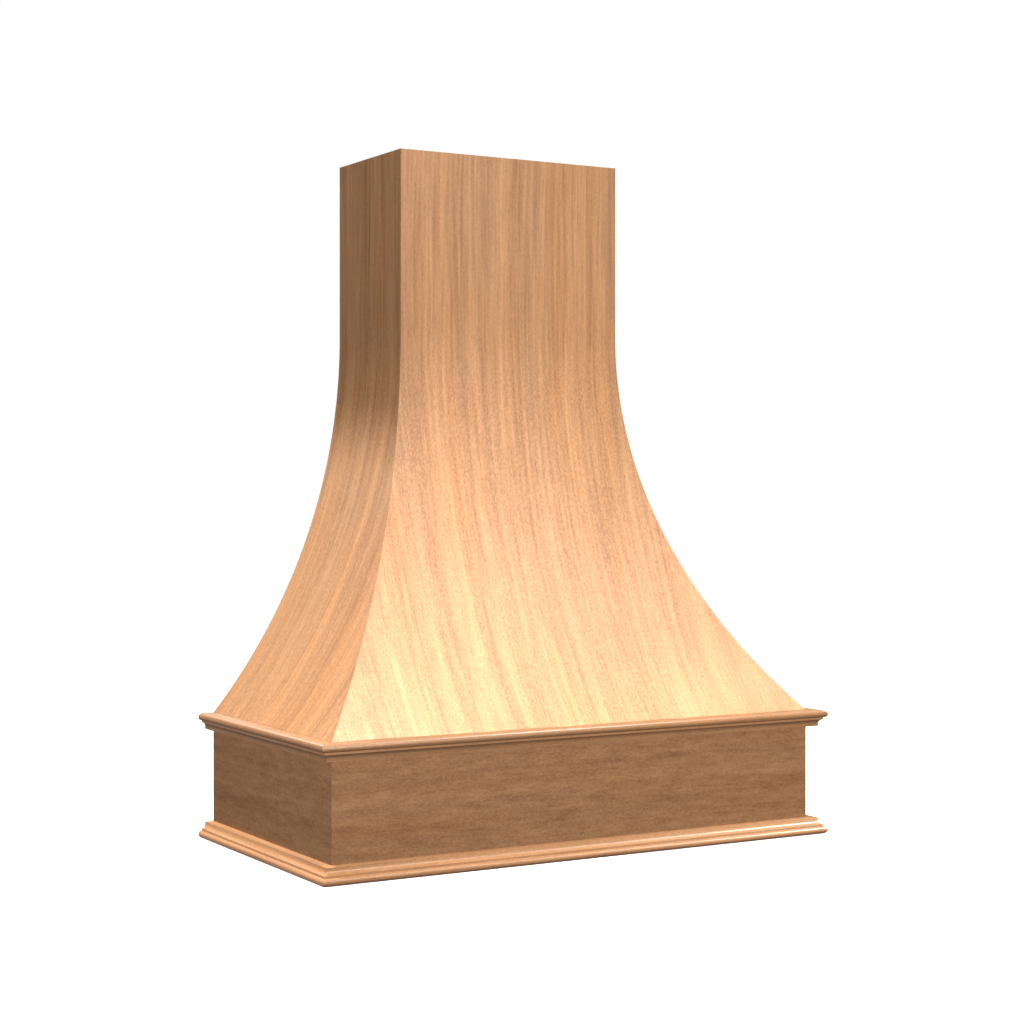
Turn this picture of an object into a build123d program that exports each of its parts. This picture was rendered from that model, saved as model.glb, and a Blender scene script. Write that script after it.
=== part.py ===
# Wooden range hood cover: a straight chimney that sweeps out, on its front and on
# both sides, to an apron box trimmed by two bands of moulding. Inside are the ribs,
# rails and nailers that hold the thin curved panels and hang the cover on a wall.
#
# Millimetres. +Z is up, the front looks along -Y, and the wall is the plane y = WALL_Y.
# The origin is the middle of the footprint, on the surface that the cover stands on.
# Outlines of the sweep are drawn in (out, z): out is measured from the chimney's face.
# Pieces of the right-hand side are drawn, and those of the left are their mirror images.

from build123d import *
import math
import os

# ------------------------------------------------------------------ outside sizes
CHIMNEY_W = 431.8        # 17 in, across the straight top
CHIMNEY_D = 241.3        # 9.5 in, from the wall to the chimney's face
CHIMNEY_H = 304.8        # 12 in, the straight height above the sweep
FLARE = 241.3            # 9.5 in, how far the front and each side sweep out
SWEEP_H = 657.9          # height of the sweep
BAND_H = 215.9           # 8.5 in, height of the apron box

# ------------------------------------------------------------------ stock
SKIN_T = 6.35            # bending plywood of the curved panels
BOARD_T = 19.05          # boards of the apron, the ribs and the rails
PANEL_T = 12.7           # plywood of the insert panel
GLUE = 0.2               # glue line between a bent panel and a curved edge

# ------------------------------------------------------------------ moulding, in section
MOULDING_H = 28.0        # height
MOULDING_OUT = 27.5      # how far the nose stands out from the apron
NOSE_TOP_R = 7.5         # round above the tip of the nose
NOSE_UNDER_R = 5.0       # round below the tip
FLAT_BACK = 1.1          # step back from the nose to the small flat below it
FLAT_H = 3.9             # height of that flat
COVE_BACK = 6.2          # how far the cove goes back, from the flat to the foot
COVE_H = 5.8             # height of the cove
COVE_SAG = 1.2           # hollow of the cove

# ------------------------------------------------------------------ frame
RIB_DEPTH = 38.1         # ribs, square to the sweep
STILE_W = 63.5           # back stiles, square to the sweep
HIP_DEPTH = 54.0         # hip ribs, along the diagonal
HIP_TOP_OUT = 19.05      # the hip ribs end where the sweep has come out this far
JACK_OUT = 120.65        # jack ribs, outside the line of the chimney's face
JACK_TIP = 12.0          # level width left at the top of a jack rib
TOP_RAIL_H = 88.9        # rails around the top of the chimney
MID_RAIL_UP = 430.0      # middle of the mid rails, above the apron box
MID_RAIL_H = 63.5
MID_NAILER_H = 88.9
FRAME_W = 76.2           # flat rails on top of the apron box
BLOCK_LEG = 31.75        # glue blocks in the corners of the apron box

# ------------------------------------------------------------------ insert panel
PANEL_Z = 38.1           # underside, above the bottom edge of the cover
PANEL_GAP = 1.5          # all round the panel
CUTOUT_LIP = 6.35        # the panel's opening is this much inside the flat frame's
CUTOUT_R = 9.5           # corners of the opening
CLEAT = 19.05            # square strips that the panel is screwed to

# ------------------------------------------------------------------ wall holes and screws
WALL_HOLE_R = 3.2        # for quarter-inch wall screws
UPPER_HOLES = 254.0      # 10 in apart, in the top and the middle nailer
LOWER_HOLES = 406.4      # 16 in apart, in the bottom nailer
SCREW_R = 2.1            # number 8 wood screws
SCREW_HEAD_R = 4.2
SCREW_FIT = 0.05         # around a shank or a head
FOOT_SCREW_L = 50.8      # up into the feet of the ribs
BACK_SCREW_L = 38.1      # in from the wall side
CLEAT_SCREW_L = 31.75    # through the cleats and the insert panel
SCREW_TIP = 5.0          # pointed end
SINK_ANGLE = 82.0        # countersink, degrees
RECESS_W = 0.9           # arms of the cross recess
RECESS_SPAN = 4.6
RECESS_DEPTH = 1.4
END_SCREW = 25.4         # from a screw to the end of the piece that it holds
FRONT_SCREWS = 5         # along the front cleat
SIDE_SCREWS = 3          # along each side cleat

# ------------------------------------------------------------------ places that follow
APRON_W = CHIMNEY_W + 2 * FLARE
APRON_D = CHIMNEY_D + FLARE
SWEEP_R = (FLARE**2 + SWEEP_H**2) / (2 * FLARE)     # upright where the sweep starts
SWEEP_TOP = BAND_H + SWEEP_H
TOP_Z = SWEEP_TOP + CHIMNEY_H
WALL_Y = (APRON_D + MOULDING_OUT) / 2
CHIMNEY_Y = WALL_Y - CHIMNEY_D
APRON_Y = WALL_Y - APRON_D
HALF_CHIMNEY = CHIMNEY_W / 2
HALF_APRON = APRON_W / 2
HALF_FLUE = HALF_CHIMNEY - SKIN_T          # inside the chimney's panels
FLUE_Y = CHIMNEY_Y + SKIN_T
HALF_BOX = HALF_APRON - BOARD_T            # inside the apron boards
BOX_Y = APRON_Y + BOARD_T
BACK_Y = WALL_Y - BOARD_T                  # inner face of the pieces against the wall
UNDER_SKIN = SKIN_T + GLUE                 # inset of everything that backs a panel
RAIL_FOOT = TOP_Z - TOP_RAIL_H             # underside of the top rails
MID_Z = BAND_H + MID_RAIL_UP
MID_LOW = MID_Z - MID_RAIL_H / 2
MID_HIGH = MID_Z + MID_RAIL_H / 2
FRAME_Z = BAND_H - BOARD_T                 # underside of the flat frame
PANEL_TOP = PANEL_Z + PANEL_T
RIB_X = HALF_FLUE - BOARD_T / 2            # middle of the corner ribs
SIDE_RIB_Y = CHIMNEY_Y + UNDER_SKIN + RIB_DEPTH + BOARD_T / 2
JACK_X = HALF_CHIMNEY + JACK_OUT
JACK_Y = CHIMNEY_Y - JACK_OUT
DIAGONAL = math.sqrt(0.5)                  # equal sweeps meet at 45 degrees in plan


def reach(z, inset=0.0):
    """How far out the sweep has come at height z, for a face that lies inset inside it."""
    drop = max(SWEEP_TOP - z, 0.0)
    return SWEEP_R - math.sqrt((SWEEP_R + inset) ** 2 - drop**2)


def height_at(out, inset=0.0):
    """Height at which the sweep, inset inside its outer face, has come out this far."""
    return SWEEP_TOP - math.sqrt((SWEEP_R + inset) ** 2 - (SWEEP_R - out) ** 2)


# ------------------------------------------------------------------ planes of the sweep
def front_plane(x):
    """Upright plane at x, in which out runs to the front."""
    return Plane(origin=(x, CHIMNEY_Y, 0), x_dir=(0, -1, 0), z_dir=(-1, 0, 0))


def side_plane(y):
    """Upright plane at y, in which out runs to the right."""
    return Plane(origin=(HALF_CHIMNEY, y, 0), x_dir=(1, 0, 0), z_dir=(0, -1, 0))


def hip(side):
    """Upright plane through a front corner of the chimney, which looks at that side's panel."""
    return Plane(
        origin=(side * HALF_CHIMNEY, CHIMNEY_Y, 0),
        x_dir=(side * DIAGONAL, -DIAGONAL, 0),
        z_dir=(side * DIAGONAL, DIAGONAL, 0),
    )


RIGHT_HIP = hip(1)
LEFT_HIP = hip(-1)


# ------------------------------------------------------------------ outlines
def sweep_edge(inset, z_low, z_high):
    """Line of the sweep at an inset: straight down the chimney, then out along the arc."""
    bend = min(z_high, SWEEP_TOP)
    middle = (bend + z_low) / 2
    if z_high > bend:
        Line((-inset, z_high), (-inset, bend))
    ThreePointArc(
        (reach(bend, inset), bend),
        (reach(middle, inset), middle),
        (reach(z_low, inset), z_low),
    )


def strip(plane, inset, depth, z_low, z_high):
    """Face of a board that follows the sweep, between two insets and two levels."""
    inner = inset + depth
    with BuildSketch(plane) as face:
        with BuildLine():
            sweep_edge(inset, z_low, z_high)
            sweep_edge(inner, z_low, z_high)
            Line((reach(z_high, inset), z_high), (reach(z_high, inner), z_high))
            Line((reach(z_low, inset), z_low), (reach(z_low, inner), z_low))
        make_face()
    return face.sketch


def inside(plane, inset, back, z_low, z_high):
    """Face of all that lies inside the sweep at an inset, as far as out = back."""
    with BuildSketch(plane) as face:
        with BuildLine():
            sweep_edge(inset, z_low, z_high)
            Polyline(
                (reach(z_high, inset), z_high),
                (back, z_high),
                (back, z_low),
                (reach(z_low, inset), z_low),
            )
        make_face()
    return face.sketch


def moulding(plane, ledge_z, down):
    """Section of the moulding against the apron: ledge, nose, flat, cove and foot.

    down is -1 where the ledge looks up and the foot is below it, and +1 upside down.
    """

    def at(out, below):
        return (FLARE + out, ledge_z + down * below)

    nose_end = NOSE_TOP_R + NOSE_UNDER_R
    flat_end = nose_end + FLAT_H
    cove_end = flat_end + COVE_H
    under_out = MOULDING_OUT - NOSE_UNDER_R
    flat_out = under_out - FLAT_BACK
    foot_out = flat_out - COVE_BACK
    cove_middle = (
        (flat_out + foot_out) / 2 - COVE_SAG * DIAGONAL,
        (flat_end + cove_end) / 2 - COVE_SAG * DIAGONAL,
    )
    with BuildSketch(plane) as face:
        with BuildLine():
            Line(at(0, 0), at(MOULDING_OUT - NOSE_TOP_R, 0))
            ThreePointArc(
                at(MOULDING_OUT - NOSE_TOP_R, 0),
                at(MOULDING_OUT - NOSE_TOP_R * (1 - DIAGONAL), NOSE_TOP_R * (1 - DIAGONAL)),
                at(MOULDING_OUT, NOSE_TOP_R),
            )
            ThreePointArc(
                at(MOULDING_OUT, NOSE_TOP_R),
                at(under_out + NOSE_UNDER_R * DIAGONAL, NOSE_TOP_R + NOSE_UNDER_R * DIAGONAL),
                at(under_out, nose_end),
            )
            Polyline(at(under_out, nose_end), at(flat_out, nose_end), at(flat_out, flat_end))
            ThreePointArc(at(flat_out, flat_end), at(*cove_middle), at(foot_out, cove_end))
            Polyline(
                at(foot_out, cove_end),
                at(foot_out, MOULDING_H),
                at(0, MOULDING_H),
                at(0, 0),
            )
        make_face()
    return face.sketch


# ------------------------------------------------------------------ ways to make a piece
def block_between(low, high, mode=Mode.ADD):
    """Block between its lowest and its highest corner."""
    with Locations(low):
        Box(*[b - a for a, b in zip(low, high)], align=[Align.MIN] * 3, mode=mode)


def mirrored(piece):
    """The left-hand twin of a right-hand piece."""
    with BuildPart() as twin:
        mirror(piece.part, about=Plane.YZ)
    return twin


def between_hips(face):
    """Piece of the front: a face carried across it and mitred at both hips."""
    with BuildPart() as piece:
        extrude(face, amount=HALF_APRON + MOULDING_OUT, both=True)
        split(bisect_by=RIGHT_HIP, keep=Keep.BOTTOM)
        split(bisect_by=LEFT_HIP, keep=Keep.BOTTOM)
    return piece


def behind_hip(face):
    """Piece of the right side: a face carried from the wall to the front and mitred there."""
    with BuildPart() as piece:
        extrude(face, amount=APRON_D + MOULDING_OUT)
        split(bisect_by=RIGHT_HIP, keep=Keep.TOP)
    return piece


# ------------------------------------------------------------------ screws
SINK_H = (SCREW_HEAD_R - SCREW_R) / math.tan(math.radians(SINK_ANGLE / 2))


def wood_screw(length):
    """Screw that hangs down from the origin, its flat head flush with the surface there."""
    with BuildPart() as screw:
        with BuildSketch(Plane.XZ):
            with BuildLine():
                Polyline(
                    (0, 0),
                    (SCREW_HEAD_R, 0),
                    (SCREW_R, -SINK_H),
                    (SCREW_R, SCREW_TIP - length),
                    (0, -length),
                    close=True,
                )
            make_face()
        revolve(axis=Axis.Z)
        Box(RECESS_SPAN, RECESS_W, 2 * RECESS_DEPTH, mode=Mode.SUBTRACT)
        Box(RECESS_W, RECESS_SPAN, 2 * RECESS_DEPTH, mode=Mode.SUBTRACT)
    return screw.part


def screw_group(screw, both_sides, middle=()):
    """Identical screws at right-hand places, at their mirror images and elsewhere."""
    with BuildPart() as group:
        with Locations(*both_sides):
            add(screw)
        mirror(about=Plane.YZ)
        if middle:
            with Locations(*middle):
                add(screw)
    return group


def facing(direction, points):
    """Locations of screws on a surface that looks along direction."""
    return [Plane(origin=point, z_dir=direction).location for point in points]


def sink(places, length):
    """Countersunk holes, in the piece that the screws' heads pull down."""
    with Locations(*places):
        CounterSinkHole(
            SCREW_R + SCREW_FIT,
            SCREW_HEAD_R + SCREW_FIT,
            depth=length,
            counter_sink_angle=SINK_ANGLE,
        )


def pilot(places, length):
    """Holes for the shanks of screws."""
    with Locations(*places):
        Hole(SCREW_R + SCREW_FIT, depth=length)


def wall_holes(spacing, z):
    """A level pair of holes through a nailer, for screws into the wall."""
    with Locations(Plane(origin=(0, WALL_Y, z), x_dir=(1, 0, 0), z_dir=(0, 1, 0)).location):
        with GridLocations(spacing, 1, 2, 1):
            Hole(WALL_HOLE_R)


def evenly(low, high, count):
    """Count places spread evenly from low to high."""
    return [low + (high - low) * i / (count - 1) for i in range(count)]


def halfway(places):
    """Places halfway between neighbours."""
    return [(a + b) / 2 for a, b in zip(places, places[1:])]


# A screw comes up through the flat frame into the foot of each rib. It stands halfway
# between the rib's inner edge at the foot and its outer edge level with the screw's point.
DOWN = (0, 0, -1)
outer_edge = reach(FRAME_Z + FOOT_SCREW_L, UNDER_SKIN)
foot_out = (reach(BAND_H, UNDER_SKIN + RIB_DEPTH) + outer_edge) / 2
hip_out = (reach(BAND_H, UNDER_SKIN) - HIP_DEPTH * DIAGONAL + outer_edge) / 2
foot_y = CHIMNEY_Y - foot_out
foot_x = HALF_CHIMNEY + foot_out
centre_rib_foot = facing(DOWN, [(0, foot_y, FRAME_Z)])
front_rib_foot = facing(DOWN, [(RIB_X, foot_y, FRAME_Z)])
front_jack_foot = facing(DOWN, [(JACK_X, foot_y, FRAME_Z)])
hip_rib_foot = facing(DOWN, [(HALF_CHIMNEY + hip_out, CHIMNEY_Y - hip_out, FRAME_Z)])
side_jack_foot = facing(DOWN, [(foot_x, JACK_Y, FRAME_Z)])
side_rib_foot = facing(DOWN, [(foot_x, SIDE_RIB_Y, FRAME_Z)])
stile_foot = facing(DOWN, [(foot_x, WALL_Y - BOARD_T / 2, FRAME_Z)])

# Screws that come in from the wall side hold the side rails and the back glue blocks.
BACK = (0, 1, 0)
top_rail_x = HALF_FLUE - BOARD_T / 2
mid_rail_x = HALF_CHIMNEY + reach(MID_Z, UNDER_SKIN + BOARD_T / 2)
block_x = HALF_BOX - BLOCK_LEG / 4
top_rail_levels = (RAIL_FOOT + END_SCREW, TOP_Z - END_SCREW)
block_levels = (PANEL_TOP + END_SCREW, FRAME_Z - END_SCREW)
top_rail_ends = facing(BACK, [(top_rail_x, WALL_Y, z) for z in top_rail_levels])
mid_rail_ends = facing(BACK, [(mid_rail_x, WALL_Y, MID_Z)])
block_ends = facing(BACK, [(block_x, WALL_Y, z) for z in block_levels])

# Screws hold the cleats to the apron, and halfway between them others hold the insert
# panel up to the cleats and to the bottom nailer.
cleat_z = PANEL_TOP + CLEAT / 2
cleat_front_y = BOX_Y + CLEAT
cleat_x = HALF_BOX - CLEAT
front_screw_x = evenly(END_SCREW - cleat_x, cleat_x - END_SCREW, FRONT_SCREWS)
side_screw_y = evenly(cleat_front_y + END_SCREW, BACK_Y - END_SCREW, SIDE_SCREWS)
panel_screw_x = halfway(front_screw_x)
panel_screw_y = halfway(side_screw_y)
front_cleat_screws = facing(BACK, [(x, cleat_front_y, cleat_z) for x in front_screw_x])
side_cleat_screws = facing((-1, 0, 0), [(cleat_x, y, cleat_z) for y in side_screw_y])
front_panel_screws = facing(DOWN, [(x, BOX_Y + CLEAT / 2, PANEL_Z) for x in panel_screw_x])
side_panel_screws = facing(DOWN, [(HALF_BOX - CLEAT / 2, y, PANEL_Z) for y in panel_screw_y])
back_panel_screws = facing(DOWN, [(x, WALL_Y - BOARD_T / 2, PANEL_Z) for x in panel_screw_x])

# ------------------------------------------------------------------ curved panels
front_panel = between_hips(strip(front_plane(0), 0, SKIN_T, BAND_H, TOP_Z))
right_side_panel = behind_hip(strip(side_plane(WALL_Y), 0, SKIN_T, BAND_H, TOP_Z))
left_side_panel = mirrored(right_side_panel)

# ------------------------------------------------------------------ apron boards
with BuildPart() as apron_front:
    block_between((-HALF_APRON, APRON_Y, 0), (HALF_APRON, BOX_Y, BAND_H))
    split(bisect_by=RIGHT_HIP, keep=Keep.BOTTOM)
    split(bisect_by=LEFT_HIP, keep=Keep.BOTTOM)
    pilot(front_cleat_screws, CLEAT_SCREW_L)

with BuildPart() as apron_right:
    block_between((HALF_BOX, APRON_Y, 0), (HALF_APRON, WALL_Y, BAND_H))
    split(bisect_by=RIGHT_HIP, keep=Keep.TOP)
    pilot(side_cleat_screws, CLEAT_SCREW_L)

apron_left = mirrored(apron_right)

# ------------------------------------------------------------------ mouldings
upper_moulding_front = between_hips(moulding(front_plane(0), BAND_H, -1))
upper_moulding_right = behind_hip(moulding(side_plane(WALL_Y), BAND_H, -1))
upper_moulding_left = mirrored(upper_moulding_right)
lower_moulding_front = between_hips(moulding(front_plane(0), 0, 1))
lower_moulding_right = behind_hip(moulding(side_plane(WALL_Y), 0, 1))
lower_moulding_left = mirrored(lower_moulding_right)

# ------------------------------------------------------------------ back frame, on the wall
with BuildPart() as right_back_stile:
    extrude(strip(side_plane(WALL_Y), UNDER_SKIN, STILE_W, BAND_H, RAIL_FOOT), amount=BOARD_T)
    pilot(stile_foot, FOOT_SCREW_L)
    sink(mid_rail_ends, BACK_SCREW_L)

left_back_stile = mirrored(right_back_stile)

with BuildPart() as top_nailer:
    block_between((0, BACK_Y, RAIL_FOOT), (HALF_FLUE, WALL_Y, TOP_Z))
    sink(top_rail_ends, BACK_SCREW_L)
    mirror(about=Plane.YZ)
    wall_holes(UPPER_HOLES, RAIL_FOOT + TOP_RAIL_H / 2)

with BuildPart() as mid_nailer:
    stile_edge = UNDER_SKIN + STILE_W + GLUE
    low, high = MID_Z - MID_NAILER_H / 2, MID_Z + MID_NAILER_H / 2
    extrude(inside(side_plane(WALL_Y), stile_edge, -HALF_CHIMNEY, low, high), amount=BOARD_T)
    mirror(about=Plane.YZ)
    wall_holes(UPPER_HOLES, MID_Z)

with BuildPart() as bottom_nailer:
    block_between((0, BACK_Y, PANEL_TOP), (HALF_BOX, WALL_Y, FRAME_Z))
    sink(block_ends, BACK_SCREW_L)
    mirror(about=Plane.YZ)
    wall_holes(LOWER_HOLES, (PANEL_TOP + FRAME_Z) / 2)
    pilot(back_panel_screws, CLEAT_SCREW_L)

# ------------------------------------------------------------------ rails at the chimney's top
with BuildPart() as top_front_rail:
    block_between((-HALF_FLUE, FLUE_Y, RAIL_FOOT), (HALF_FLUE, FLUE_Y + BOARD_T, TOP_Z))

with BuildPart() as top_right_rail:
    block_between((HALF_FLUE - BOARD_T, FLUE_Y + BOARD_T, RAIL_FOOT), (HALF_FLUE, BACK_Y, TOP_Z))
    pilot(top_rail_ends, BACK_SCREW_L)

top_left_rail = mirrored(top_right_rail)

# ------------------------------------------------------------------ ribs behind the panels
with BuildPart() as front_right_rib:
    outline = strip(front_plane(RIB_X), UNDER_SKIN, RIB_DEPTH, BAND_H, RAIL_FOOT)
    extrude(outline, amount=BOARD_T / 2, both=True)
    pilot(front_rib_foot, FOOT_SCREW_L)

front_left_rib = mirrored(front_right_rib)

with BuildPart() as front_centre_rib:
    outline = strip(front_plane(0), UNDER_SKIN, RIB_DEPTH, BAND_H, MID_LOW)
    extrude(outline, amount=BOARD_T / 2, both=True)
    pilot(centre_rib_foot, FOOT_SCREW_L)

with BuildPart() as right_side_rib:
    outline = strip(side_plane(SIDE_RIB_Y), UNDER_SKIN, RIB_DEPTH, BAND_H, RAIL_FOOT)
    extrude(outline, amount=BOARD_T / 2, both=True)
    pilot(side_rib_foot, FOOT_SCREW_L)

left_side_rib = mirrored(right_side_rib)

# Mid rails run between the ribs and are shaped to the same sweep.
with BuildPart() as front_mid_rail:
    outline = strip(front_plane(0), UNDER_SKIN, BOARD_T, MID_LOW, MID_HIGH)
    extrude(outline, amount=RIB_X - BOARD_T / 2, both=True)

with BuildPart() as right_mid_rail:
    outline = strip(side_plane(BACK_Y), UNDER_SKIN, BOARD_T, MID_LOW, MID_HIGH)
    extrude(outline, amount=BACK_Y - SIDE_RIB_Y - BOARD_T / 2)
    pilot(mid_rail_ends, BACK_SCREW_L)

left_mid_rail = mirrored(right_mid_rail)

# Hip ribs stand in the plane of the mitre. Their outer edge is backed to both panels, and
# their inner edge is the sweep drawn out along the diagonal, which makes it an ellipse.
hip_top = height_at(HIP_TOP_OUT)
hip_radius = SWEEP_R + UNDER_SKIN
hip_start = 180 + math.degrees(math.asin((SWEEP_TOP - hip_top) / hip_radius))
hip_end = 180 + math.degrees(math.asin(SWEEP_H / hip_radius))
hip_upright = Plane(RIGHT_HIP.origin, RIGHT_HIP.x_dir, RIGHT_HIP.x_dir.cross(Vector(0, 0, 1)))


def hip_inner(z):
    """Point of the hip rib's inner edge at height z, measured along the diagonal."""
    return (reach(z, UNDER_SKIN) / DIAGONAL - HIP_DEPTH, z)


with BuildPart() as right_hip_rib:
    with BuildSketch(hip_upright):
        with BuildLine():
            EllipticalCenterArc(
                (SWEEP_R / DIAGONAL - HIP_DEPTH, SWEEP_TOP),
                hip_radius / DIAGONAL,
                hip_radius,
                hip_start,
                arc_size=hip_end - hip_start,
            )
            Polyline(
                hip_inner(BAND_H),
                (FLARE / DIAGONAL, BAND_H),
                (FLARE / DIAGONAL, hip_top),
                hip_inner(hip_top),
            )
        make_face()
    extrude(amount=BOARD_T / 2, both=True)
    under_front = inside(front_plane(0), UNDER_SKIN, -CHIMNEY_D, BAND_H, hip_top)
    under_side = inside(side_plane(WALL_Y), UNDER_SKIN, -HALF_CHIMNEY, BAND_H, hip_top)
    extrude(under_front, amount=HALF_APRON, both=True, mode=Mode.INTERSECT)
    extrude(under_side, amount=APRON_D, mode=Mode.INTERSECT)
    split(bisect_by=Plane.YZ.offset(RIB_X + BOARD_T / 2), keep=Keep.TOP)
    pilot(hip_rib_foot, FOOT_SCREW_L)

left_hip_rib = mirrored(right_hip_rib)

# Jack ribs stand halfway out and die against the hip ribs with a cheek cut.
half_hip = BOARD_T / 2
jack_top = height_at(JACK_OUT + half_hip / DIAGONAL + BOARD_T / 2 + JACK_TIP, UNDER_SKIN)

with BuildPart() as right_front_jack:
    outline = strip(front_plane(JACK_X), UNDER_SKIN, RIB_DEPTH, BAND_H, jack_top)
    extrude(outline, amount=BOARD_T / 2, both=True)
    split(bisect_by=RIGHT_HIP.offset(-half_hip), keep=Keep.BOTTOM)
    pilot(front_jack_foot, FOOT_SCREW_L)

with BuildPart() as right_side_jack:
    outline = strip(side_plane(JACK_Y), UNDER_SKIN, RIB_DEPTH, BAND_H, jack_top)
    extrude(outline, amount=BOARD_T / 2, both=True)
    split(bisect_by=RIGHT_HIP.offset(half_hip), keep=Keep.TOP)
    pilot(side_jack_foot, FOOT_SCREW_L)

left_front_jack = mirrored(right_front_jack)
left_side_jack = mirrored(right_side_jack)

# ------------------------------------------------------------------ flat frame on the apron box
with BuildPart() as frame_front_rail:
    block_between((0, BOX_Y, FRAME_Z), (HALF_BOX, BOX_Y + FRAME_W, BAND_H))
    sink(front_rib_foot + front_jack_foot + hip_rib_foot, FOOT_SCREW_L)
    mirror(about=Plane.YZ)
    sink(centre_rib_foot, FOOT_SCREW_L)

with BuildPart() as frame_back_rail:
    block_between((0, WALL_Y - FRAME_W, FRAME_Z), (HALF_BOX, WALL_Y, BAND_H))
    sink(stile_foot, FOOT_SCREW_L)
    mirror(about=Plane.YZ)

with BuildPart() as frame_right_rail:
    rail_low = (HALF_BOX - FRAME_W, BOX_Y + FRAME_W, FRAME_Z)
    block_between(rail_low, (HALF_BOX, WALL_Y - FRAME_W, BAND_H))
    sink(side_jack_foot + side_rib_foot, FOOT_SCREW_L)

frame_left_rail = mirrored(frame_right_rail)


# ------------------------------------------------------------------ glue blocks
def glue_block(corner_y, into_box):
    """Three-cornered block in a right-hand corner of the apron box, cut round the cleats."""
    with BuildPart() as block:
        with BuildSketch(Plane.XY.offset(PANEL_TOP)):
            with Locations((HALF_BOX, corner_y)):
                Polygon((0, 0), (-BLOCK_LEG, 0), (0, into_box * BLOCK_LEG), align=None)
        extrude(amount=FRAME_Z - PANEL_TOP)
        front_low, side_low = (0, BOX_Y, PANEL_TOP), (cleat_x, BOX_Y, PANEL_TOP)
        cleat_top = PANEL_TOP + CLEAT
        block_between(front_low, (HALF_BOX, cleat_front_y, cleat_top), mode=Mode.SUBTRACT)
        block_between(side_low, (HALF_BOX, BACK_Y, cleat_top), mode=Mode.SUBTRACT)
        pilot(block_ends, BACK_SCREW_L)
    return block


right_front_block = glue_block(BOX_Y, 1)
right_back_block = glue_block(BACK_Y, -1)
left_front_block = mirrored(right_front_block)
left_back_block = mirrored(right_back_block)

# ------------------------------------------------------------------ cleats and insert panel
with BuildPart() as front_cleat:
    block_between((-HALF_BOX, BOX_Y, PANEL_TOP), (HALF_BOX, cleat_front_y, PANEL_TOP + CLEAT))
    sink(front_cleat_screws, CLEAT_SCREW_L)
    pilot(front_panel_screws, CLEAT_SCREW_L)

with BuildPart() as right_cleat:
    side_low = (cleat_x, cleat_front_y, PANEL_TOP)
    block_between(side_low, (HALF_BOX, BACK_Y, PANEL_TOP + CLEAT))
    sink(side_cleat_screws, CLEAT_SCREW_L)
    pilot(side_panel_screws, CLEAT_SCREW_L)

left_cleat = mirrored(right_cleat)

with BuildPart() as insert_panel:
    panel_low = (0, BOX_Y + PANEL_GAP, PANEL_Z)
    block_between(panel_low, (HALF_BOX - PANEL_GAP, WALL_Y - PANEL_GAP, PANEL_TOP))
    sink(side_panel_screws, PANEL_T)
    mirror(about=Plane.YZ)
    sink(front_panel_screws + back_panel_screws, PANEL_T)
    cutout_half_w = HALF_BOX - FRAME_W - CUTOUT_LIP
    cutout_front = BOX_Y + FRAME_W + CUTOUT_LIP
    cutout_back = WALL_Y - FRAME_W - CUTOUT_LIP
    with BuildSketch(Plane.XY.offset(PANEL_Z)):
        with Locations((0, (cutout_front + cutout_back) / 2)):
            RectangleRounded(2 * cutout_half_w, cutout_back - cutout_front, CUTOUT_R)
    extrude(amount=PANEL_T, mode=Mode.SUBTRACT)

# ------------------------------------------------------------------ screws, one group per use
right_front_feet = front_rib_foot + front_jack_foot + hip_rib_foot
right_side_feet = side_jack_foot + side_rib_foot + stile_foot
foot_screw = wood_screw(FOOT_SCREW_L)
back_screw = wood_screw(BACK_SCREW_L)
cleat_screw = wood_screw(CLEAT_SCREW_L)
foot_screws = screw_group(foot_screw, right_front_feet + right_side_feet, centre_rib_foot)
back_screws = screw_group(back_screw, top_rail_ends + mid_rail_ends + block_ends)
cleat_screws = screw_group(cleat_screw, side_cleat_screws, front_cleat_screws)
panel_screws = screw_group(cleat_screw, side_panel_screws, front_panel_screws + back_panel_screws)

# ------------------------------------------------------------------ write one STEP per piece
PIECES = {
    "front_panel": front_panel,
    "left_side_panel": left_side_panel,
    "right_side_panel": right_side_panel,
    "apron_front": apron_front,
    "apron_left": apron_left,
    "apron_right": apron_right,
    "upper_moulding_front": upper_moulding_front,
    "upper_moulding_left": upper_moulding_left,
    "upper_moulding_right": upper_moulding_right,
    "lower_moulding_front": lower_moulding_front,
    "lower_moulding_left": lower_moulding_left,
    "lower_moulding_right": lower_moulding_right,
    "left_back_stile": left_back_stile,
    "right_back_stile": right_back_stile,
    "top_nailer": top_nailer,
    "mid_nailer": mid_nailer,
    "bottom_nailer": bottom_nailer,
    "top_front_rail": top_front_rail,
    "top_left_rail": top_left_rail,
    "top_right_rail": top_right_rail,
    "front_left_rib": front_left_rib,
    "front_centre_rib": front_centre_rib,
    "front_right_rib": front_right_rib,
    "left_side_rib": left_side_rib,
    "right_side_rib": right_side_rib,
    "left_hip_rib": left_hip_rib,
    "right_hip_rib": right_hip_rib,
    "left_front_jack": left_front_jack,
    "right_front_jack": right_front_jack,
    "left_side_jack": left_side_jack,
    "right_side_jack": right_side_jack,
    "front_mid_rail": front_mid_rail,
    "left_mid_rail": left_mid_rail,
    "right_mid_rail": right_mid_rail,
    "frame_front_rail": frame_front_rail,
    "frame_back_rail": frame_back_rail,
    "frame_left_rail": frame_left_rail,
    "frame_right_rail": frame_right_rail,
    "left_front_block": left_front_block,
    "right_front_block": right_front_block,
    "left_back_block": left_back_block,
    "right_back_block": right_back_block,
    "front_cleat": front_cleat,
    "left_cleat": left_cleat,
    "right_cleat": right_cleat,
    "insert_panel": insert_panel,
    "foot_screws": foot_screws,
    "back_screws": back_screws,
    "cleat_screws": cleat_screws,
    "panel_screws": panel_screws,
}

os.makedirs("parts", exist_ok=True)
for label, piece in PIECES.items():
    piece.part.label = label
    export_step(piece.part, f"parts/{label}.step")
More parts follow.
